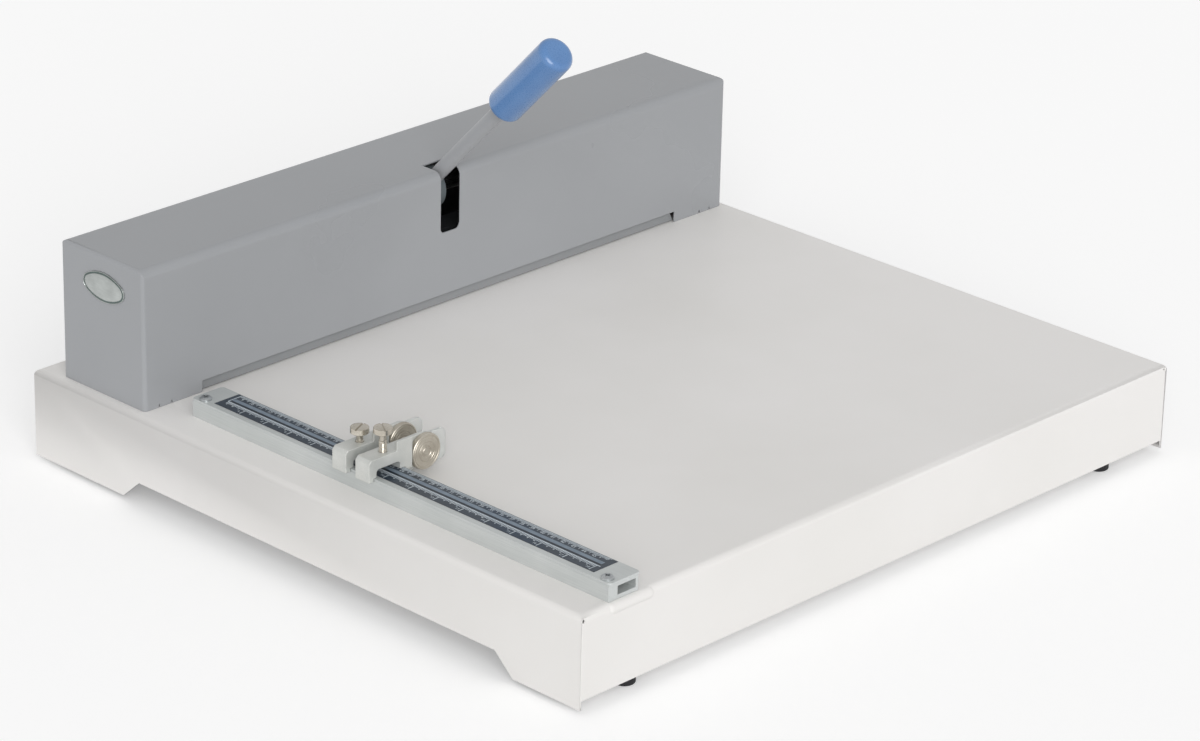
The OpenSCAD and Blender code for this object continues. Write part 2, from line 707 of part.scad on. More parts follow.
module follower_screws() color("#3a3c40") both_sides() {
  rod_z(cam_x - follow_screw_x, pivot_y, beam_z1 - 0.8 * follow_tap, beam_z1 + follow_foot_t + 1, m5);
  rod_z(cam_x - follow_screw_x, pivot_y, beam_z1 + follow_foot_t, beam_z1 + follow_foot_t + m5, 1.7 * m5);
}

module crease_blade() color("#b7babd") {
  box(-blade_x, pivot_y - blade_t / 2, blade_z0 + blade_t / 2, blade_x, pivot_y + blade_t / 2,
    beam_z0 + blade_slot);
  rod_x(-blade_x, blade_x, pivot_y, blade_z0 + blade_t / 2, blade_t);
}

module blade_screws() color("#3a3c40") for (x = blade_screw_xs)
  rod_y(x, pivot_y + blade_t / 2, pivot_y + beam_t / 2 - 1, beam_z0 + blade_slot / 2, grub_d);

// Side rail ----------------------------------------------------------------

module rail_screw_holes(z0, z1) for (y = rail_screw_ys)
  rod_z(rail_x + rail_screw_in, y, z0 - over, z1 + over, rail_screw_d + hole_play);

module side_rail() color("#c6c9c7") difference() {
  box(rail_x, rail_y0, top_z, rail_x + rail_w, rail_y1, plate_z);
  box(rail_x + rail_wall, rail_y0 - over, top_z + rail_floor, rail_x + rail_w - rail_thin, rail_y1 + over,
    plate_z - rail_thin);
  rail_screw_holes(top_z, plate_z);
}

module rail_plate() color("#b4b5b8") difference() {
  translate([0, 0, plate_z]) linear_extrude(plate_t)
    round_rect(rail_x, rail_y0 - plate_over, plate_x1, rail_y1 + plate_over, plate_corner_r);
  translate([0, 0, ruler_z - scale_t]) linear_extrude(scale_t + over) scale_outline();
  rail_screw_holes(plate_z, ruler_z);
}

module scale_outline() translate([rail_x + scale_in, rail_y0 - plate_over + scale_bare_front])
  square([scale_w, rail_y1 - rail_y0 + 2 * plate_over - scale_bare_front - scale_bare_back]);

module scale_strip() color("#31465a")
  translate([0, 0, ruler_z - scale_t]) linear_extrude(scale_t) scale_outline();

module rail_screws() color("silver") for (y = rail_screw_ys) difference() {
  union() {
    rod_z(rail_x + rail_screw_in, y, top_z - base_sheet - nut_h - 1, ruler_z + 1, rail_screw_d);
    intersection() {
      rod_z(rail_x + rail_screw_in, y, ruler_z, ruler_z + rail_head_h, rail_head_d);
      translate([rail_x + rail_screw_in, y, ruler_z - 2.4]) sphere(d = 1.25 * rail_head_d);
    }
  }
  for (turn = [0, 90]) translate([rail_x + rail_screw_in, y, ruler_z + rail_head_h]) rotate(turn)
    cube([rail_head_d / 2, 1, 2.4], center = true);
}

module rail_nuts() color("silver") for (y = rail_screw_ys) difference() {
  translate([rail_x + rail_screw_in, y, top_z - base_sheet - nut_h])
    cylinder(d = nut_d, h = nut_h, $fn = 6);
  rod_z(rail_x + rail_screw_in, y, top_z - base_sheet - nut_h - over, top_z, rail_screw_d);
}

// Stops ----------------------------------------------------------------------

module stop_profile() difference() {
  polygon([[stop_x0, ruler_z - lip_down], [stop_x0, top_z + stop_h - stop_chamfer],
    [stop_x0 + stop_chamfer, top_z + stop_h], [stop_x1, top_z + stop_h],
    [stop_x1, ruler_z - lip_down], [plate_x1 + loose, ruler_z - lip_down],
    [plate_x1 + loose, ruler_z + seat], [rail_x - loose, ruler_z + seat],
    [rail_x - loose, ruler_z - lip_down]]);
  round_rect(arch_x0, ruler_z - over - arch_up, arch_x1, ruler_z + arch_up, arch_r);
}

module stop_at(y) color("#c9cbc8") difference() {
  union() {
    along_y(y - stop_len / 2, y + stop_len / 2) stop_profile();
    box(arm_x0, y - stop_len / 2, top_z + stop_h - over, stop_x1, y - stop_len / 2 + arm_t, top_z + arm_h);
    box(plate_x1 + loose, y + lug_y, disc_z - lug_r + over, disc_x, y + lug_y + lug_t, disc_z + lug_r);
    rod_y(disc_x, y + lug_y, y + lug_y + lug_t, disc_z, 2 * lug_r);
  }
  rod_z(thumb_x, y, ruler_z, top_z + stop_h + over, stem_d + 2 * run);
  rod_y(disc_x, y + lug_y - over, y + lug_y + lug_t + over, disc_z, pin_d);
}

module thumbscrew_at(y, slack) color("#b5b3ae") {
  z = top_z + stop_h + thumb_seat + slack;
  rod_z(thumb_x, y, ruler_z + seat + slack, z, stem_d);
  rod_z(thumb_x, y, z, z + thumb_h, thumb_d);
}

module disc_at(y) color("#b3ada2") difference() {
  rod_y(disc_x, y + disc_y, y + disc_y + disc_t, disc_z, disc_d);
  rod_y(disc_x, y + disc_y - over, y + disc_y + disc_t + over, disc_z, pin_d + 2 * run);
}

module gauge_at(y) color("#d5d8d6") difference() {
  union() {
    along_y(y + gauge_y, y + gauge_y + gauge_t)
      round_rect(disc_x - gauge_left, top_z + gauge_low, disc_x + gauge_reach, top_z + gauge_top,
        gauge_corner_r);
    rod_y(disc_x, y + gauge_y, y + gauge_y + gauge_t, disc_z, 2 * gauge_eye_r);
  }
  rod_y(disc_x, y + gauge_y - over, y + gauge_y + gauge_t + over, disc_z, pin_d + 2 * run);
}

module pivot_at(y) color("#c4c7ca") {
  rod_y(disc_x, y + disc_y, y + gauge_y + gauge_t + loose, disc_z, pin_d);
  rod_y(disc_x, y + gauge_y + gauge_t + loose, y + gauge_y + gauge_t + loose + pin_head_t,
    disc_z, pin_head_d);
}

base_casing();
foot_at(-foot_x, -foot_y);  // front_left_foot
foot_at(foot_x, -foot_y);  // front_right_foot
foot_at(-foot_x, foot_y);  // rear_left_foot
foot_at(foot_x, foot_y);  // rear_right_foot
foot_screws();
foot_rail_at(-foot_y, left);  // front_foot_rail
foot_rail_at(foot_y, right);  // rear_foot_rail
head_cover();
cover_screws();
oval_plate();
bed_bar();
matrix_bar();
matrix_screws();
frame_at(left);  // left_frame
frame_at(right);  // right_frame
frame_bolts();
tie_bar();
tie_screws();
bush_at(left);  // left_bush
bush_at(right);  // right_bush
paper_guide();
guide_screws();
post_at(left);  // left_post
post_at(right);  // right_post
spring_at(left);  // left_spring
spring_at(right);  // right_spring
drive_shaft();
lever_hub();
lever_rod();
lever_grip();
cam_at(left);  // left_eccentric
cam_at(right);  // right_eccentric
set_screws();
blade_beam();
follower_at(left);  // left_follower
follower_at(right);  // right_follower
follower_screws();
crease_blade();
blade_screws();
side_rail();
rail_plate();
scale_strip();
rail_screws();
rail_nuts();
stop_at(stop_ys[0]);  // front_stop
thumbscrew_at(stop_ys[0], thumb_slack);  // front_thumbscrew
disc_at(stop_ys[0]);  // front_disc
gauge_at(stop_ys[0]);  // front_gauge
pivot_at(stop_ys[0]);  // front_pivot
stop_at(stop_ys[1]);  // rear_stop
thumbscrew_at(stop_ys[1], 0);  // rear_thumbscrew
disc_at(stop_ys[1]);  // rear_disc
gauge_at(stop_ys[1]);  // rear_gauge
pivot_at(stop_ys[1]);  // rear_pivot
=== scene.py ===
import json
import math

import bmesh
import bpy
from mathutils import Matrix, Vector

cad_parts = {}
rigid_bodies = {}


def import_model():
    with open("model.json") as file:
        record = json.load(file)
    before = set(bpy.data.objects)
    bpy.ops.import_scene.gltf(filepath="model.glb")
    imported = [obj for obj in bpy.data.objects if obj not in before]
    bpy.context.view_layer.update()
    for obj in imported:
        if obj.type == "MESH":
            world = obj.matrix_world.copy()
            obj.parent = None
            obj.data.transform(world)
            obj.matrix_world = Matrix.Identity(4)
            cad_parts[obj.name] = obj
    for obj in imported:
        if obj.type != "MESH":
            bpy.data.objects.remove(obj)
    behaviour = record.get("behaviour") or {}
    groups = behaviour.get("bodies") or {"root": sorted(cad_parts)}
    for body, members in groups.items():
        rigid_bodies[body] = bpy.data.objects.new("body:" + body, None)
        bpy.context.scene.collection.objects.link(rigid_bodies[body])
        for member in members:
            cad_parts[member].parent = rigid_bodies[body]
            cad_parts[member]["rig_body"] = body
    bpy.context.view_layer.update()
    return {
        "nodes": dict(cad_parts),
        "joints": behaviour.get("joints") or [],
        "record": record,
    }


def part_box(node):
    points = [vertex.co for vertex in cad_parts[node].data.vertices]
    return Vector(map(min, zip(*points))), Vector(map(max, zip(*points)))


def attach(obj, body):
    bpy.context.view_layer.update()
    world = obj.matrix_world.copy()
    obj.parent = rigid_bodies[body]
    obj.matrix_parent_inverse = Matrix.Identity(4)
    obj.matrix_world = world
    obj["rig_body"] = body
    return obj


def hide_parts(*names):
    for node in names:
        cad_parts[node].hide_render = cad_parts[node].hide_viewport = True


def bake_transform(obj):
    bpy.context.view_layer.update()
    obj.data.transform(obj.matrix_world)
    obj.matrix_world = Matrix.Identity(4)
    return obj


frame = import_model()
nodes = frame["nodes"]
slotOf = {entry["node"]: entry["material_slot"] for entry in frame["record"]["subparts"]}
joints = {joint["name"]: joint for joint in frame["joints"]}
mm = 0.001

# ---- node trees ----


def setInputs(tree, node, values):
    for key, value in values.items():
        if isinstance(value, bpy.types.NodeSocket):
            tree.links.new(value, node.inputs[key])
        else:
            node.inputs[key].default_value = value


def addNode(tree, kind, values=None, **settings):
    node = tree.nodes.new(kind)
    for key, value in settings.items():
        setattr(node, key, value)
    setInputs(tree, node, values or {})
    return node


def mathNode(tree, operation, first, second):
    return addNode(tree, "ShaderNodeMath", {0: first, 1: second}, operation=operation).outputs[0]


def mixColours(tree, factor, first, second):
    # the mix node holds its factor in input 0 and its two colours in inputs 6 and 7
    return addNode(tree, "ShaderNodeMix", {0: factor, 6: first, 7: second}, data_type="RGBA").outputs[2]


def remap(tree, value, low, high, fromLow=0.35, fromHigh=0.65):
    return addNode(tree, "ShaderNodeMapRange", {"Value": value, "From Min": fromLow, "From Max": fromHigh,
                                                "To Min": low, "To Max": high}).outputs["Result"]


def noise(tree, coords, scale, detail):
    values = {"Vector": coords, "Scale": scale, "Detail": detail}
    return addNode(tree, "ShaderNodeTexNoise", values).outputs["Fac"]


def bump(tree, height, distance, strength=0.5, under=None):
    values = {"Height": height, "Distance": distance, "Strength": strength}
    if under is not None:
        values["Normal"] = under
    return addNode(tree, "ShaderNodeBump", values).outputs[0]


def colour(rgb, alpha=1.0):  # sRGB 0 to 255, as a paint chart gives it, to linear
    def linear(c):
        c /= 255
        return c / 12.92 if c <= 0.04045 else ((c + 0.055) / 1.055) ** 2.4
    return (*[linear(c) for c in rgb], alpha)


def newMaterial(name):
    material = bpy.data.materials.new(name)
    material.use_nodes = True
    tree = material.node_tree
    tree.nodes.clear()
    shader = addNode(tree, "ShaderNodeBsdfPrincipled")
    addNode(tree, "ShaderNodeOutputMaterial", {"Surface": shader.outputs["BSDF"]})
    return material, tree, shader


def objectCoords(tree, centre=(0, 0, 0), scale=(1, 1, 1)):
    coords = addNode(tree, "ShaderNodeTexCoord").outputs["Object"]
    moved = addNode(tree, "ShaderNodeMapping", {"Vector": coords, "Location": [-c for c in centre]})
    return addNode(tree, "ShaderNodeMapping", {"Vector": moved.outputs[0], "Scale": scale}).outputs[0]


def cloudedTone(tree, clouds, look):
    return mixColours(tree, remap(tree, clouds, 0, 1), colour(look["shade"]), colour(look["tint"]))


# ---- finishes ----


def paintFinish(name, look):
    # sprayed or powder coated sheet: slow clouds of tone, a fine orange peel and a few dust specks
    material, tree, shader = newMaterial(name)
    coords = objectCoords(tree)
    clouds = noise(tree, coords, look["cloudScale"], 4.0)
    peel = noise(tree, coords, look["peelScale"], 2.0)
    grain = noise(tree, coords, look["grainScale"], 3.0)
    specks = remap(tree, grain, 0, look["speck"], *look["speckRange"])
    fine = bump(tree, grain, look["grainHeight"])
    setInputs(tree, shader, {
        "Base Color": mixColours(tree, specks, cloudedTone(tree, clouds, look), colour(look["speckColour"])),
        "Roughness": remap(tree, clouds, *look["roughness"]),
        "Normal": bump(tree, peel, look["peelHeight"], look["peelStrength"], fine),
        "Specular IOR Level": look["specular"]})
    return material


def metalFinish(name, look):
    # drawn, ground or turned metal: fine lines along the grain, worn a little in clouds
    material, tree, shader = newMaterial(name)
    centre = look.get("centre", (0, 0, 0))
    lines = noise(tree, objectCoords(tree, centre, look.get("grain", (1, 1, 1))), look["lineScale"], 4.0)
    clouds = noise(tree, objectCoords(tree), look["cloudScale"], 3.0)
    if "rings" in look:
        turned = addNode(tree, "ShaderNodeTexWave", {
            "Vector": objectCoords(tree, centre), "Scale": look["rings"], "Distortion": 0.3, "Detail": 1.0,
            "Detail Scale": 2.0}, wave_type="RINGS", rings_direction=look["ringAxis"])
        lines = mixColours(tree, look["ringShare"], lines, turned.outputs["Fac"])
    worn = remap(tree, lines, 0, look.get("lineTone", 0.25))
    setInputs(tree, shader, {
        "Base Color": mixColours(tree, worn, cloudedTone(tree, clouds, look), colour(look["line"])),
        "Roughness": remap(tree, lines, *look["roughness"]),
        "Metallic": look.get("metallic", 1.0),
        "Normal": bump(tree, lines, look["lineHeight"])})
    return material


def plasticFinish(name, look):
    # moulded or printed surface: faint clouds of tone under a fine grain
    material, tree, shader = newMaterial(name)
    coords = objectCoords(tree)
    clouds = noise(tree, coords, look["cloudScale"], 3.0)
    fine = noise(tree, coords, look["fineScale"], 2.0)
    setInputs(tree, shader, {
        "Base Color": cloudedTone(tree, clouds, look),
        "Roughness": remap(tree, fine, *look["roughness"]),
        "Normal": bump(tree, fine, look["fineHeight"]),
        **look.get("shader", {})})
    return material


enamel = dict(cloudScale=5.0, peelScale=420.0, peelHeight=0.04 * mm, peelStrength=0.7, grainScale=2600.0,
              grainHeight=0.02 * mm, speck=0.10, speckRange=(0.45, 0.75), specular=0.4)
finishes = {
    "base_paint": paintFinish("powderCoatWarmWhite", dict(
        enamel, shade=(233, 231, 228), tint=(238, 236, 234), speckColour=(223, 220, 216),
        roughness=(0.42, 0.5))),
    "head_paint": paintFinish("satinEnamelGrey", dict(
        enamel, shade=(155, 157, 160), tint=(160, 162, 165), speckColour=(146, 148, 151),
        roughness=(0.26, 0.34))),
    # painted shade: the frame inside the head is made near-black because it lies in shadow
    "frame_paint": paintFinish("machineEnamel", dict(
        enamel, shade=(40, 42, 45), tint=(50, 52, 55), speckColour=(32, 34, 37), roughness=(0.45, 0.6))),
    "guide_steel": paintFinish("guideEnamel", dict(
        enamel, shade=(136, 139, 141), tint=(146, 148, 150), speckColour=(120, 122, 125),
        roughness=(0.35, 0.5))),
    # painted shade: the inside faces of the head cover are made near-black because they lie in shadow
    "cover_inside": paintFinish("coverInside", dict(
        enamel, shade=(26, 27, 29), tint=(34, 35, 37), speckColour=(20, 21, 22), roughness=(0.6, 0.75))),
    "rod_chrome": paintFinish("rodSatin", dict(
        enamel, shade=(160, 162, 165), tint=(170, 171, 174), speckColour=(150, 152, 155),
        roughness=(0.3, 0.4))),
    # grey enamel, darkened further as painted shade for the shadow inside the lever slot
    "hub_paint": paintFinish("hubEnamel", dict(
        enamel, shade=(104, 112, 116), tint=(114, 121, 125), speckColour=(92, 98, 102),
        roughness=(0.4, 0.5))),
    "badge_metal": metalFinish("badgePlate", dict(
        shade=(176, 180, 178), tint=(196, 200, 198), line=(150, 154, 152), grain=(1, 0.04, 1),
        lineScale=2500.0, lineHeight=0.01 * mm, cloudScale=60.0, roughness=(0.28, 0.42))),
    "zinc_steel": metalFinish("zincPlate", dict(
        shade=(184, 188, 190), tint=(208, 211, 212), line=(150, 153, 156),
        lineScale=900.0, lineHeight=0.01 * mm, cloudScale=120.0, roughness=(0.25, 0.42))),
    "black_steel": metalFinish("blackOxide", dict(
        shade=(34, 35, 38), tint=(52, 53, 56), line=(20, 20, 22),
        lineScale=900.0, lineHeight=0.01 * mm, cloudScale=90.0, roughness=(0.35, 0.55), metallic=0.6)),
    "ground_steel": metalFinish("groundSteel", dict(
        shade=(160, 162, 164), tint=(190, 192, 194), line=(120, 122, 125), grain=(0.03, 1, 1),
        lineScale=2200.0, lineHeight=0.01 * mm, cloudScale=40.0, roughness=(0.22, 0.4))),
    "bush_brass": metalFinish("turnedBrass", dict(
        shade=(176, 140, 74), tint=(206, 172, 104), line=(140, 106, 52), grain=(6, 1, 1),
        lineScale=600.0, lineHeight=0.01 * mm, cloudScale=60.0, roughness=(0.2, 0.35))),
    "rail_aluminium": metalFinish("extrudedAluminium", dict(
        shade=(203, 207, 206), tint=(217, 220, 219), line=(188, 192, 192), grain=(1, 0.01, 1),
        lineScale=3000.0, lineHeight=0.008 * mm, lineTone=0.35, cloudScale=14.0, roughness=(0.42, 0.55),
        metallic=0.45)),
    "stop_aluminium": metalFinish("castAluminium", dict(
        shade=(205, 207, 203), tint=(218, 219, 215), line=(190, 192, 189),
        lineScale=1500.0, lineHeight=0.02 * mm, lineTone=0.3, cloudScale=60.0, roughness=(0.42, 0.55),
        metallic=0.35)),
    "foot_rubber": plasticFinish("footRubber", dict(
        shade=(24, 24, 27), tint=(38, 38, 41), cloudScale=120.0, fineScale=1800.0, fineHeight=0.05 * mm,
        roughness=(0.6, 0.8))),
    "grip_plastic": plasticFinish("gripBlue", dict(
        shade=(84, 127, 181), tint=(92, 135, 188), cloudScale=30.0, fineScale=1500.0, fineHeight=0.01 * mm,
        roughness=(0.24, 0.34),
        shader={"Specular IOR Level": 0.55, "Coat Weight": 0.6, "Coat Roughness": 0.07})),
    "scale_film": plasticFinish("scaleFilm", dict(
        shade=(26, 40, 54), tint=(34, 49, 64), cloudScale=80.0, fineScale=2000.0, fineHeight=0.008 * mm,
        roughness=(0.3, 0.42), shader={"Coat Weight": 0.2})),
    "gauge_plastic": plasticFinish("gaugeMilky", dict(
        shade=(232, 234, 232), tint=(238, 240, 238), cloudScale=25.0, fineScale=500.0, fineHeight=0.002 * mm,
        roughness=(0.3, 0.36),
        shader={"Transmission Weight": 0.5, "IOR": 1.3, "Specular IOR Level": 0.35})),
}
for node, slot in slotOf.items():
    if slot in finishes:
        nodes[node].data.materials.clear()
        nodes[node].data.materials.append(finishes[slot])
print("finishes:", len(finishes))


def turnedNickel(name, centre, axis, roughness):
    return metalFinish(name, dict(
        shade=(198, 191, 178), tint=(216, 210, 198), line=(158, 151, 138), centre=centre, rings=420.0,
        ringAxis=axis, ringShare=0.6, lineScale=400.0, lineHeight=0.008 * mm, lineTone=0.35, cloudScale=90.0,
        roughness=roughness, metallic=0.9))


# ---- meshes and pieces ----


def addPiece(name, mesh, body, stands=(), finish=None):
    piece = bpy.data.objects.new(name, mesh)
    bpy.context.scene.collection.objects.link(piece)
    if finish is not None:
        mesh.materials.clear()
        mesh.materials.append(finish)
    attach(piece, body)
    if stands:
        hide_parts(*stands)
    return piece


def shadeByAngle(mesh, degrees):
    mesh.polygons.foreach_set("use_smooth", [True] * len(mesh.polygons))
    mesh.set_sharp_from_angle(angle=math.radians(degrees))


def meshFrom(build, name, outwards=True):
    mesh = bpy.data.meshes.new(name)
    bm = bmesh.new()
    build(bm)
    if outwards:
        bmesh.ops.remove_doubles(bm, verts=bm.verts, dist=0.001 * mm)
        bmesh.ops.recalc_face_normals(bm, faces=bm.faces)
    bm.to_mesh(mesh)
    bm.free()
    return mesh


def evaluatedMesh(piece):
    return bpy.data.meshes.new_from_object(piece.evaluated_get(bpy.context.evaluated_depsgraph_get()))


def lathe(bm, profile, steps, place):
    # profile: (radius, height) along the outline; a point on the axis closes it there
    rings = []
    for radius, height in profile:
        if radius < 1e-9:
            rings.append([bm.verts.new(place @ Vector((0, 0, height)))])
        else:
            rings.append([bm.verts.new(place @ Vector((radius * math.cos(a), radius * math.sin(a), height)))
                          for a in (2 * math.pi * i / steps for i in range(steps))])
    for low, high in zip(rings, rings[1:]):
        for i in range(steps):
            j = (i + 1) % steps
            corners = [low[i % len(low)], low[j % len(low)], high[j % len(high)], high[i % len(high)]]
            face = [v for k, v in enumerate(corners) if v not in corners[:k]]
            bm.faces.new(face)


def arcPoints(cx, cz, radius, start, end, count):
    angles = [math.radians(start + (end - start) * i / count) for i in range(count + 1)]
    return [(cx + radius * math.cos(a), cz + radius * math.sin(a)) for a in angles]


def box(bm, low, high):
    for v in bmesh.ops.create_cube(bm, size=1.0)["verts"]:
        v.co = Vector([low[k] + (v.co[k] + 0.5) * (high[k] - low[k]) for k in range(3)])


def carve(mesh, cutter):
    whole, tool = bpy.data.objects.new("whole", mesh), bpy.data.objects.new("tool", cutter)
    for o in (whole, tool):
        bpy.context.scene.collection.objects.link(o)
    cut = whole.modifiers.new("cut", "BOOLEAN")
    cut.object, cut.operation, cut.solver = tool, "DIFFERENCE", "EXACT"
    bpy.context.view_layer.update()
    carved = evaluatedMesh(whole)
    for o in (whole, tool):
        bpy.data.objects.remove(o)
    return carved


# ---- sheet metal, rail, stops and gauges: the solids with their edges broken ----

dress = dict(weld=0.002 * mm, flatBelow=0.3, smoothBelow=38, segments=2, insideDeep=1.2 * mm)
edgeWidths = {"head_cover": 0.35 * mm, "base_casing": 0, "side_rail": 0.3 * mm, "rail_plate": 0.3 * mm,
              "front_stop": 0.6 * mm, "rear_stop": 0.6 * mm, "front_gauge": 0.4 * mm, "rear_gauge": 0.4 * mm,
              "paper_guide": 0.2 * mm}


def dressed(node, width):
    # a copy of the solid with its bends shaded smooth; a width merges its triangles and breaks its edges too
    mesh = nodes[node].data.copy()
    bm = bmesh.new()
    bm.from_mesh(mesh)
    bmesh.ops.remove_doubles(bm, verts=bm.verts, dist=dress["weld"])
    if width:
        bmesh.ops.dissolve_limit(bm, angle_limit=math.radians(dress["flatBelow"]), verts=bm.verts,
                                 edges=bm.edges)
    bm.to_mesh(mesh)
    bm.free()
    material = nodes[node].data.materials[0]
    piece = addPiece(node + ".dressed", mesh, nodes[node]["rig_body"], [node], material)
    shadeByAngle(mesh, dress["smoothBelow"])
    if width:
        edge = piece.modifiers.new("edges", "BEVEL")
        edge.width, edge.segments = width, dress["segments"]
        edge.limit_method, edge.angle_limit = "ANGLE", math.radians(dress["smoothBelow"])
        edge.use_clamp_overlap = False
        mesh.polygons.foreach_set("use_smooth", [True] * len(mesh.polygons))
    flat = piece.modifiers.new("flat faces stay flat", "WEIGHTED_NORMAL")
    flat.weight = 100
    bpy.context.view_layer.update()
    final = evaluatedMesh(piece)
    piece.modifiers.clear()
    piece.data = final
    return piece


def darkInside(piece, node):
    # the hidden side of a painted sheet: faces that look inwards get a near-black finish, painted shade for
    # the dark inside of the head
    low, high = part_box(node)
    piece.data.materials.append(finishes["cover_inside"])
    for face in piece.data.polygons:
        gap = min(min(c - l, h - c) for c, l, h in zip(face.center[:2], low, high))
        gap = min(gap, high.z - face.center.z)
        if gap > dress["insideDeep"] and face.normal.dot(face.center - (low + high) / 2) < 0:
            face.material_index = 1


pieces = {node: dressed(node, width) for node, width in edgeWidths.items()}
# painted shade: the head cover's inward faces take the near-black finish
darkInside(pieces["head_cover"], "head_cover")
print("sheet metal, rail and stops: edges broken")

# ---- return springs between the base and the blade beam: smooth shaded copies that stay as built ----

spring = dict(smoothBelow=40)


def makeSpring(side):
    node = side + "_spring"
    mesh = nodes[node].data.copy()
    coil = bpy.data.objects.new(side + "Spring", mesh)
    bpy.context.scene.collection.objects.link(coil)
    shadeByAngle(mesh, spring["smoothBelow"])
    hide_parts(node)
    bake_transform(coil)


for side in ("left", "right"):
    makeSpring(side)
print("return springs")

# ---- lever grip ----

# shares are of the grip's radius; the end is sunk a little around a flat crown
grip = dict(endRadius=5.6 * mm, collar=1.2 * mm, collarShare=0.42, mouthShare=0.46, crownShare=0.3,
            crownSunk=0.1 * mm, middleSunk=0.125 * mm, arcSteps=10, steps=72, smoothBelow=40)


def makeGrip():
    pivot = Vector((0, *joints["lever_swing"]["pos_m"][1:]))
    low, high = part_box("lever_grip")
    middle = (low + high) / 2
    along = (Vector((0, middle.y, middle.z)) - pivot).normalized()
    reach = [(v.co - pivot).dot(along) for v in nodes["lever_grip"].data.vertices]
    start, end = min(reach), max(reach)
    radius, r = (high.x - low.x) / 2, grip["endRadius"]
    place = Matrix.Translation(pivot) @ along.to_track_quat("Z", "Y").to_matrix().to_4x4()
    profile = [(0, start + grip["collar"]), (radius * grip["collarShare"], start + grip["collar"]),
               (radius * grip["mouthShare"], start)]
    profile += arcPoints(radius - r, start + r, r, -90, 0, grip["arcSteps"])
    profile += [(radius, end - r)] + arcPoints(radius - r, end - r, r, 0, 90, grip["arcSteps"])
    profile += [(radius * grip["crownShare"], end - grip["crownSunk"]), (0, end - grip["middleSunk"])]
    mesh = meshFrom(lambda bm: lathe(bm, profile, grip["steps"], place), "leverGrip")
    shadeByAngle(mesh, grip["smoothBelow"])
    addPiece("leverGrip", mesh, "lever", ["lever_grip"], finishes["grip_plastic"])


makeGrip()
print("lever grip")

# ---- repeated ridges and ticks, in Geometry Nodes ----


def newTree(name, inputs):
    # inputs: each socket's name and kind
    tree = bpy.data.node_groups.new(name, "GeometryNodeTree")
    sockets = {key: tree.interface.new_socket(name=key, in_out="INPUT", socket_type="NodeSocket" + kind)
               for key, kind in inputs.items()}
    tree.interface.new_socket(name="Geometry", in_out="OUTPUT", socket_type="NodeSocketGeometry")
    return tree, sockets, tree.nodes.new("NodeGroupInput").outputs


def finishTree(tree, points, bar, size, material, **values):
    # a bar on each point, made real and given its material
    copies = addNode(tree, "GeometryNodeInstanceOnPoints", {
        "Points": points.outputs[0], "Instance": bar.outputs[0], "Scale": size.outputs[0], **values})
    real = addNode(tree, "GeometryNodeRealizeInstances", {"Geometry": copies.outputs[0]})
    done = addNode(tree, "GeometryNodeSetMaterial", {"Geometry": real.outputs[0], "Material": material})
    addNode(tree, "NodeGroupOutput", {0: done.outputs[0]})


def tickTree():
    tree, sockets, given = newTree("scaleTicks", {
        "Count": "Int", "First": "Int", "Middle every": "Int", "Long every": "Int", "Pitch": "Float",
        "Short": "Float", "Middle": "Float", "Long": "Float", "Width": "Float", "Height": "Float",
        "Ink": "Material"})
    step = addNode(tree, "ShaderNodeCombineXYZ", {"Y": mathNode(tree, "MULTIPLY", given["Pitch"], -1.0)})
    points = addNode(tree, "GeometryNodeMeshLine", {"Count": given["Count"], "Offset": step.outputs[0]})
    number = mathNode(tree, "ADD", addNode(tree, "GeometryNodeInputIndex").outputs[0], given["First"])
    length = given["Short"]
    for every, longer in (("Middle every", "Middle"), ("Long every", "Long")):
        left = mathNode(tree, "MODULO", number, given[every])
        hit = mathNode(tree, "LESS_THAN", left, 0.5)
        length = addNode(tree, "GeometryNodeSwitch", {"Switch": hit, "False": length, "True": given[longer]},
                         input_type="FLOAT").outputs[0]
    bar = addNode(tree, "GeometryNodeMeshCube", {"Size": (1, 1, 1)})
    bar = addNode(tree, "GeometryNodeTransform", {"Geometry": bar.outputs[0], "Translation": (0.5, 0, 0.5)})
    size = addNode(tree, "ShaderNodeCombineXYZ", {"X": length, "Y": given["Width"], "Z": given["Height"]})
    finishTree(tree, points, bar, size, given["Ink"])
    return tree, sockets


def ridgeTree():
    tree, sockets, given = newTree("knurlRidges", {
        "Count": "Int", "Radius": "Float", "Ridge": "Float", "Length": "Float", "Metal": "Material"})
    points = addNode(tree, "GeometryNodeMeshCircle", {"Vertices": given["Count"], "Radius": given["Radius"]})
    # a square bar, 1 across its corners, with a corner outwards
    bar = addNode(tree, "GeometryNodeMeshCube", {"Size": (0.7071, 0.7071, 1)})
    turned = (0, 0, math.pi / 4)
    bar = addNode(tree, "GeometryNodeTransform", {"Geometry": bar.outputs[0], "Rotation": turned})
    place = addNode(tree, "GeometryNodeInputPosition")
    turn = addNode(tree, "FunctionNodeAlignRotationToVector", {"Vector": place.outputs[0]}, axis="X")
    size = addNode(tree, "ShaderNodeCombineXYZ", {"X": given["Ridge"], "Y": given["Ridge"],
                                                  "Z": given["Length"]})
    finishTree(tree, points, bar, size, given["Metal"], Rotation=turn.outputs[0])
    return tree, sockets


def runTree(treeAndSockets, values, place):
    tree, sockets = treeAndSockets
    carrier = bpy.data.objects.new("carrier", bpy.data.meshes.new("carrier"))
    bpy.context.scene.collection.objects.link(carrier)
    modifier = carrier.modifiers.new("nodes", "NODES")
    modifier.node_group = tree
    for name, value in values.items():
        modifier[sockets[name].identifier] = value
    mesh = evaluatedMesh(carrier)
    carrier.modifiers.clear()
    bpy.data.objects.remove(carrier)
    mesh.transform(place)
    return mesh


ticks = tickTree()
ridges = ridgeTree()

# ---- printed scale: plain ticks and numbers, counted from the crease line ----

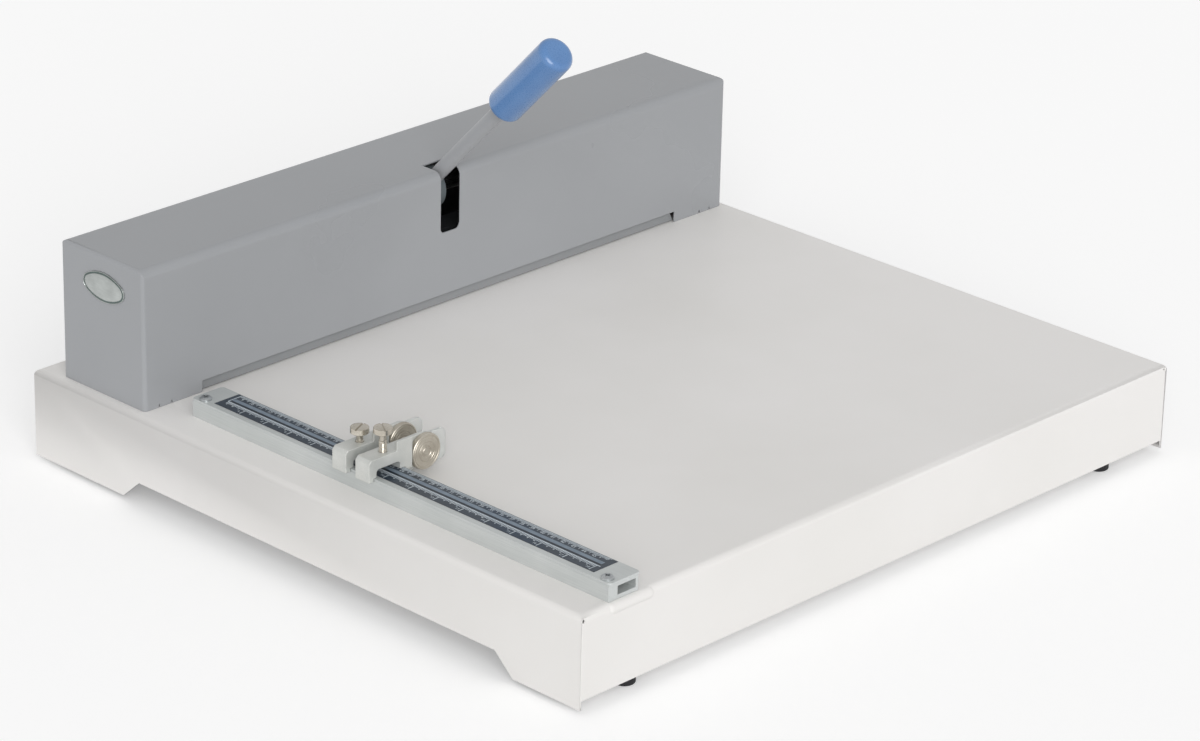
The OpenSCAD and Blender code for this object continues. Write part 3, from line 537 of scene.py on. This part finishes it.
printing = dict(cloudScale=200.0, fineScale=2500.0, fineHeight=0.005 * mm, roughness=(0.35, 0.5))
scalePrint = plasticFinish("scalePrint", dict(printing, shade=(184, 194, 202), tint=(200, 209, 215)))
scaleGrey = plasticFinish("scalePrintGrey", dict(printing, shade=(112, 126, 140), tint=(124, 138, 152)))
scaleDark = plasticFinish("scalePrintDark", dict(printing, shade=(16, 24, 34), tint=(22, 31, 42)))

# places across the strip count from its left edge, places along it from the crease line
scale = dict(ink=0.03 * mm, margin=5 * mm, centimetre=10 * mm, inch=25.4 * mm,
             inchLine=(9.1 * mm, 10.1 * mm), endLine=(10.1 * mm, 23.3 * mm), edgeLine=(22.9 * mm, 23.4 * mm),
             greyBand=(12.8 * mm, 16.4 * mm), blackLine=(11.0 * mm, 12.2 * mm),
             endLineAhead=(1.4 * mm, 0.5 * mm), inchLineTail=2 * mm, blackLineLate=1.5 * mm)
centimetreRow = dict(across=22.9 * mm, short=2.2 * mm, middle=2.8 * mm, long=4.0 * mm, width=0.5 * mm,
                     numberSize=4.3 * mm, numberAcross=18.9 * mm, numberAhead=5 * mm, numberClear=2 * mm)
inchRow = dict(across=9.1 * mm, short=2.6 * mm, middle=4.0 * mm, long=8.0 * mm, width=0.75 * mm,
               numberSize=3.3 * mm, numberAcross=3.4 * mm, numberAhead=3.4 * mm)


def writeNumber(text, size, x, y, z, bm):
    curve = bpy.data.curves.new("number", "FONT")
    curve.body, curve.size, curve.align_x, curve.align_y = text, size, "CENTER", "CENTER"
    curve.extrude, curve.resolution_u = scale["ink"] / 2, 2
    holder = bpy.data.objects.new("number", curve)
    bpy.context.scene.collection.objects.link(holder)
    mesh = evaluatedMesh(holder)
    turn = Matrix.Rotation(-math.pi / 2, 4, "Z")
    mesh.transform(Matrix.Translation((x, y, z + scale["ink"] / 2)) @ turn)
    bm.from_mesh(mesh)
    bpy.data.objects.remove(holder)
    bpy.data.curves.remove(curve)
    bpy.data.meshes.remove(mesh)


def makeScale():
    low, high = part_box("scale_strip")
    zero = joints["lever_swing"]["pos_m"][1]  # the crease line, under the shaft
    z, x0, thick = high.z, low.x, scale["ink"]
    far, near = zero - high.y + scale["margin"], zero - low.y - scale["margin"]

    def addStripes(name, bands, finish):
        def build(bm):
            for (left, right), start, end in bands:
                box(bm, (x0 + left, zero - end, z), (x0 + right, zero - start, z + thick))
        addPiece(name, meshFrom(build, name), "machine", (), finish)

    ahead, end = scale["endLineAhead"]
    addStripes("scaleLines", [(scale["inchLine"], far - end, near + scale["inchLineTail"]),
                              (scale["endLine"], far - ahead, far - end),
                              (scale["edgeLine"], far, near)], scalePrint)
    addStripes("scaleBand", [(scale["greyBand"], far, near)], scaleGrey)
    addStripes("scaleBlackLine", [(scale["blackLine"], far + scale["blackLineLate"], near)], scaleDark)

    def addTicks(name, row, pitch, first, count, middleEvery, longEvery):
        place = Matrix.Translation((x0 + row["across"], zero - first * pitch, z))
        mesh = runTree(ticks, {
            "Count": count, "First": first, "Middle every": middleEvery, "Long every": longEvery,
            "Pitch": pitch, "Short": row["short"], "Middle": row["middle"], "Long": row["long"],
            "Width": row["width"], "Height": thick, "Ink": scalePrint},
            place @ Matrix.Diagonal((-1, 1, 1, 1)))
        bm = bmesh.new()
        bm.from_mesh(mesh)
        bmesh.ops.recalc_face_normals(bm, faces=bm.faces)
        bm.to_mesh(mesh)
        bm.free()
        addPiece(name, mesh, "machine", (), scalePrint)

    sixteenth = scale["inch"] / 16
    firstMm, firstInch = math.ceil(far / mm), math.ceil(far / scale["inch"] * 16)
    addTicks("scaleCentimetreTicks", centimetreRow, mm, firstMm, int(near / mm) - firstMm, 5, 10)
    addTicks("scaleInchTicks", inchRow, sixteenth, firstInch, int(near / sixteenth) - firstInch + 1, 4, 16)

    def numbers(bm):
        for row, pitch in ((centimetreRow, scale["centimetre"]), (inchRow, scale["inch"])):
            for n in range(math.ceil(far / pitch), int(near / pitch) + 1):
                along = n * pitch - row["numberAhead"]
                if "numberClear" not in row or far + row["numberClear"] < along:
                    writeNumber(str(n), row["numberSize"], x0 + row["numberAcross"], zero - along, z, bm)

    addPiece("scaleNumbers", meshFrom(numbers, "scaleNumbers"), "machine", (), scalePrint)


makeScale()
print("printed scale")

# ---- thumbscrews ----

thumb = dict(slotWide=1.3 * mm, slotDeep=0.9 * mm, slotTurn={"front": 58, "rear": 24}, chamfer=0.45 * mm,
             leadIn=0.6 * mm, threadPitch=1.0 * mm, threadDeep=0.35 * mm, crestAt=0.45, crestLong=0.4 * mm,
             neckShare=0.84, neckLong=6.4 * mm, neckSlope=0.5 * mm, collar=0.5 * mm, steps=64,
             smoothBelow=28, roughness=(0.16, 0.28))


def makeThumbscrew(side):
    node = side + "_thumbscrew"
    low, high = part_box(node)
    centre = (low + high) / 2
    head = (high.x - low.x) / 2
    points = [(math.hypot(v.co.x - centre.x, v.co.y - centre.y), v.co.z) for v in nodes[node].data.vertices]
    stem = max(r for r, z in points if z < low.z + 0.1 * mm)
    under = min(z for r, z in points if r > head * 0.9)
    root, neck = stem - thumb["threadDeep"], stem * thumb["neckShare"]
    profile = [(0, low.z), (root, low.z)]
    z = low.z + thumb["leadIn"]
    while z < under - thumb["neckLong"]:
        profile += [(root, z), (stem, z + thumb["threadPitch"] * thumb["crestAt"])]
        z += thumb["threadPitch"]
    crest = z + thumb["crestLong"]
    c = thumb["chamfer"]
    profile += [(stem, z), (stem, crest), (neck, crest + thumb["neckSlope"]), (neck, under - thumb["collar"]),
                (neck + thumb["collar"], under), (head - c, under), (head, under + c), (head, high.z - c),
                (head - c * 0.7, high.z - c * 0.2), (head - 2 * c, high.z), (0, high.z)]
    place = Matrix.Translation((centre.x, centre.y, 0))
    mesh = meshFrom(lambda bm: lathe(bm, profile, thumb["steps"], place), side + "Thumbscrew")
    half = thumb["slotWide"] / 2
    cutter = meshFrom(lambda bm: box(bm, (-2 * head, -half, -thumb["slotDeep"]), (2 * head, half, head)),
                      "cutter")
    turn = Matrix.Rotation(math.radians(thumb["slotTurn"][side]), 4, "Z")
    cutter.transform(Matrix.Translation((centre.x, centre.y, high.z)) @ turn)
    mesh = carve(mesh, cutter)
    shadeByAngle(mesh, thumb["smoothBelow"])
    finish = turnedNickel(side + "ThumbscrewNickel", (centre.x, centre.y, 0), "Z", thumb["roughness"])
    addPiece(side + "Thumbscrew", mesh, node, [node], finish)


# ---- turned discs ----

# rings: where each groove lies, as a share of the radius, and its depth
disc = dict(bore=2.6 * mm, rimChamfer=0.5 * mm, knurlRoom=0.18 * mm,
            rings=((0.88, 0.35 * mm), (0.7, 0.12 * mm), (0.54, 0.3 * mm), (0.42, 0.12 * mm),
                   (0.28, 0.5 * mm)),
            ridgeCount=110, ridge=0.42 * mm, ridgeSunk=0.02 * mm, ridgeShort=1.1 * mm, steps=96,
            smoothBelow=25, roughness=(0.34, 0.5))


def makeDisc(side):
    node = side + "_disc"
    low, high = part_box(node)
    centre = (low + high) / 2
    radius = (high.x - low.x) / 2 - disc["knurlRoom"]
    thick = high.y - low.y
    bore, c = disc["bore"], disc["rimChamfer"]
    profile = [(bore, 0), (radius - c, 0), (radius, c), (radius, thick - c), (radius - c, thick)]
    for share, d in disc["rings"]:
        r = share * radius
        profile += [(r + 1.4 * d, thick), (r + 0.4 * d, thick - d), (r - 0.4 * d, thick - d),
                    (r - 1.4 * d, thick)]
    profile += [(bore, thick), (bore, 0)]
    upright = Matrix.Rotation(math.pi / 2, 4, "X")
    place = Matrix.Translation((centre.x, high.y, centre.z)) @ upright
    mesh = meshFrom(lambda bm: lathe(bm, profile, disc["steps"], place), side + "Disc")
    finish = turnedNickel(side + "DiscNickel", (centre.x, 0, centre.z), "Y", disc["roughness"])
    mesh.materials.append(finish)
    knurl = runTree(ridges, {
        "Count": disc["ridgeCount"], "Radius": radius - disc["ridgeSunk"], "Ridge": disc["ridge"],
        "Length": thick - disc["ridgeShort"], "Metal": finish}, Matrix.Translation(centre) @ upright)
    bm = bmesh.new()
    bm.from_mesh(mesh)
    bm.from_mesh(knurl)
    joined = bpy.data.meshes.new(side + "Disc")
    bm.to_mesh(joined)
    bm.free()
    shadeByAngle(joined, disc["smoothBelow"])
    addPiece(side + "Disc", joined, node, [node], finish)
    nodes[side + "_pivot"].data.materials.clear()
    nodes[side + "_pivot"].data.materials.append(finish)


for side in ("front", "rear"):
    makeThumbscrew(side)
    makeDisc(side)
print("thumbscrews and discs")

# ---- oval plate, left blank ----

plate = dict(rimWide=0.6 * mm, rimRound=0.3 * mm, rimHigh=0.35 * mm, enamelWide=1.5 * mm, enamelAt=0.35,
             slope=0.2 * mm, innerAt=0.7, domeWide=3 * mm, domeHigh=0.3 * mm, flatHalf=0.8 * mm,
             smoothBelow=35)
badgeEnamel = plasticFinish("badgeEnamel", dict(
    shade=(52, 72, 68), tint=(66, 86, 82), cloudScale=120.0, fineScale=900.0, fineHeight=0.01 * mm,
    roughness=(0.2, 0.3), shader={"Coat Weight": 0.4}))


def makeOvalPlate():
    low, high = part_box("oval_plate")
    outer, centre = low.x, (low + high) / 2
    halfWide, halfHigh = (high.y - low.y) / 2, (high.z - low.z) / 2
    outline = {(round(v.co.y, 6), round(v.co.z, 6)): (v.co.y - centre.y, v.co.z - centre.z)
               for v in nodes["oval_plate"].data.vertices if abs(v.co.x - outer) < 0.001 * mm}
    outline = sorted(outline.values(), key=lambda p: math.atan2(p[1], p[0]))

    def ring(bm, inset, out):
        return [bm.verts.new((outer + plate["rimHigh"] - out, centre.y + y * (1 - inset / halfWide),
                              centre.z + z * (1 - inset / halfHigh))) for y, z in outline]

    def build(bm):
        rim, top, slope, dome = plate["rimWide"], plate["rimHigh"], plate["slope"], plate["domeHigh"]
        groove, inner = rim + plate["enamelWide"], top * plate["innerAt"]
        levels = [(0, outer + top - high.x), (0, 0.0), (plate["rimRound"] / 2, top * 0.8),
                  (plate["rimRound"], top), (rim - slope, top), (rim, top * plate["enamelAt"]),
                  (groove, top * plate["enamelAt"]), (groove + slope, inner),
                  (groove + plate["domeWide"], inner + dome * 0.4),
                  (halfHigh - plate["flatHalf"], inner + dome * 0.5)]
        loops = [ring(bm, inset, out) for inset, out in levels]
        for level, (a, b) in enumerate(zip(loops, loops[1:])):
            for i in range(len(a)):
                j = (i + 1) % len(a)
                face = bm.faces.new((a[i], a[j], b[j], b[i]))
                face.material_index = 1 if level == 5 else 0  # the groove's floor
        bm.faces.new(loops[-1])
        bm.faces.new(loops[0])

    mesh = meshFrom(build, "ovalPlate")
    mesh.materials.append(finishes["badge_metal"])
    mesh.materials.append(badgeEnamel)
    addPiece("ovalPlate", mesh, "machine", ["oval_plate"])
    shadeByAngle(mesh, plate["smoothBelow"])


makeOvalPlate()
print("oval plate")

# ---- rubber feet ----

foot = dict(edge=1.3 * mm, dish=0.8 * mm, dishShare=0.35, mouthShare=0.45, topChamfer=0.4 * mm, arcSteps=5,
            steps=48, smoothBelow=35)


def makeFoot(end, side):
    node = end + "_" + side + "_foot"
    low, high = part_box(node)
    centre = (low + high) / 2
    radius = (high.x - low.x) / 2
    e, c = foot["edge"], foot["topChamfer"]
    profile = [(0, foot["dish"]), (radius * foot["dishShare"], foot["dish"]),
               (radius * foot["mouthShare"], 0)]
    profile += arcPoints(radius - e, e, e, -90, 0, foot["arcSteps"])
    profile += [(radius, high.z - c), (radius - c, high.z), (0, high.z)]
    place = Matrix.Translation((centre.x, centre.y, 0))
    mesh = meshFrom(lambda bm: lathe(bm, profile, foot["steps"], place), node)
    shadeByAngle(mesh, foot["smoothBelow"])
    addPiece(end + side.title() + "Foot", mesh, "machine", [node], finishes["foot_rubber"])


for end in ("front", "rear"):
    for side in ("left", "right"):
        makeFoot(end, side)
print("feet")

# ---- floor, light and camera ----

studio = dict(floorSize=14.0, floorColour=(238, 238, 238), floorLift=0.26, horizonLight=0.95,
              zenithLight=0.64, backdrop=0.945, keyStrength=1.5, keySoftness=40.0,
              keyFrom=(-0.555, -0.7, 0.42), keyAway=2)


def makeFloor():
    size = studio["floorSize"]
    mesh = meshFrom(lambda bm: bmesh.ops.create_grid(bm, x_segments=1, y_segments=1, size=size), "floor",
                    outwards=False)
    floor = bpy.data.objects.new("floor", mesh)
    bpy.context.scene.collection.objects.link(floor)
    material = bpy.data.materials.new("paleFloor")
    material.use_nodes = True
    tree = material.node_tree
    tree.nodes.clear()
    rays = addNode(tree, "ShaderNodeLightPath").outputs
    seen = mathNode(tree, "MAXIMUM", rays["Is Camera Ray"], rays["Is Glossy Ray"])
    seen = mathNode(tree, "MAXIMUM", seen, rays["Is Transmission Ray"])
    lift = mathNode(tree, "MULTIPLY", seen, studio["floorLift"])
    matt = addNode(tree, "ShaderNodeBsdfDiffuse", {"Color": colour(studio["floorColour"])})
    glow = addNode(tree, "ShaderNodeEmission", {"Strength": lift})
    both = addNode(tree, "ShaderNodeAddShader", {0: matt.outputs[0], 1: glow.outputs[0]})
    addNode(tree, "ShaderNodeOutputMaterial", {"Surface": both.outputs[0]})
    mesh.materials.append(material)


def makeWorld():
    world = bpy.data.worlds.new("studio")
    bpy.context.scene.world = world
    world.use_nodes = True
    tree = world.node_tree
    tree.nodes.clear()
    rays = addNode(tree, "ShaderNodeLightPath")
    coords = addNode(tree, "ShaderNodeTexCoord").outputs
    aim = addNode(tree, "ShaderNodeSeparateXYZ", {0: coords["Generated"]})
    dome = addNode(tree, "ShaderNodeMapRange", {
        "Value": aim.outputs["Z"], "To Min": studio["horizonLight"], "To Max": studio["zenithLight"]})
    strength = addNode(tree, "ShaderNodeMapRange", {
        "Value": rays.outputs["Is Camera Ray"], "To Min": dome.outputs[0], "To Max": studio["backdrop"]})
    sky = addNode(tree, "ShaderNodeBackground", {"Strength": strength.outputs[0]})
    addNode(tree, "ShaderNodeOutputWorld", {"Surface": sky.outputs[0]})


def makeKeyLight():
    lamp = bpy.data.lights.new("key", "SUN")
    lamp.energy, lamp.angle = studio["keyStrength"], math.radians(studio["keySoftness"])
    holder = bpy.data.objects.new("key", lamp)
    bpy.context.scene.collection.objects.link(holder)
    away = Vector(studio["keyFrom"]).normalized()
    holder.location = away * studio["keyAway"]
    holder.rotation_mode = "QUATERNION"
    holder.rotation_quaternion = away.to_track_quat("Z", "Y")


shot = dict(lens=138.95, sensor=36.0, azimuth=-46.19, elevation=23.29, roll=1.34, distance=3.5,
            target=(0.0005, 0.00564, 0.0682), clip=(0.05, 60))


def makeCamera():
    data = bpy.data.cameras.new("camera")
    camera = bpy.data.objects.new("camera", data)
    bpy.context.scene.collection.objects.link(camera)
    data.lens, data.sensor_width, data.sensor_fit = shot["lens"], shot["sensor"], "HORIZONTAL"
    data.clip_start, data.clip_end = shot["clip"]
    azimuth, elevation, roll = (math.radians(shot[k]) for k in ("azimuth", "elevation", "roll"))
    back = Vector((math.sin(azimuth) * math.cos(elevation), -math.cos(azimuth) * math.cos(elevation),
                   math.sin(elevation)))
    right = (-back).cross(Vector((0, 0, 1))).normalized()
    up = right.cross(-back)
    x = math.cos(roll) * right + math.sin(roll) * up
    y = -math.sin(roll) * right + math.cos(roll) * up
    turn = Matrix((x, y, back)).transposed().to_4x4()
    camera.matrix_world = Matrix.Translation(Vector(shot["target"]) + back * shot["distance"]) @ turn
    bpy.context.scene.camera = camera


makeFloor()
makeWorld()
makeKeyLight()
makeCamera()
bpy.context.scene.view_settings.view_transform = "Standard"
print("studio and camera")

bpy.context.view_layer.update()
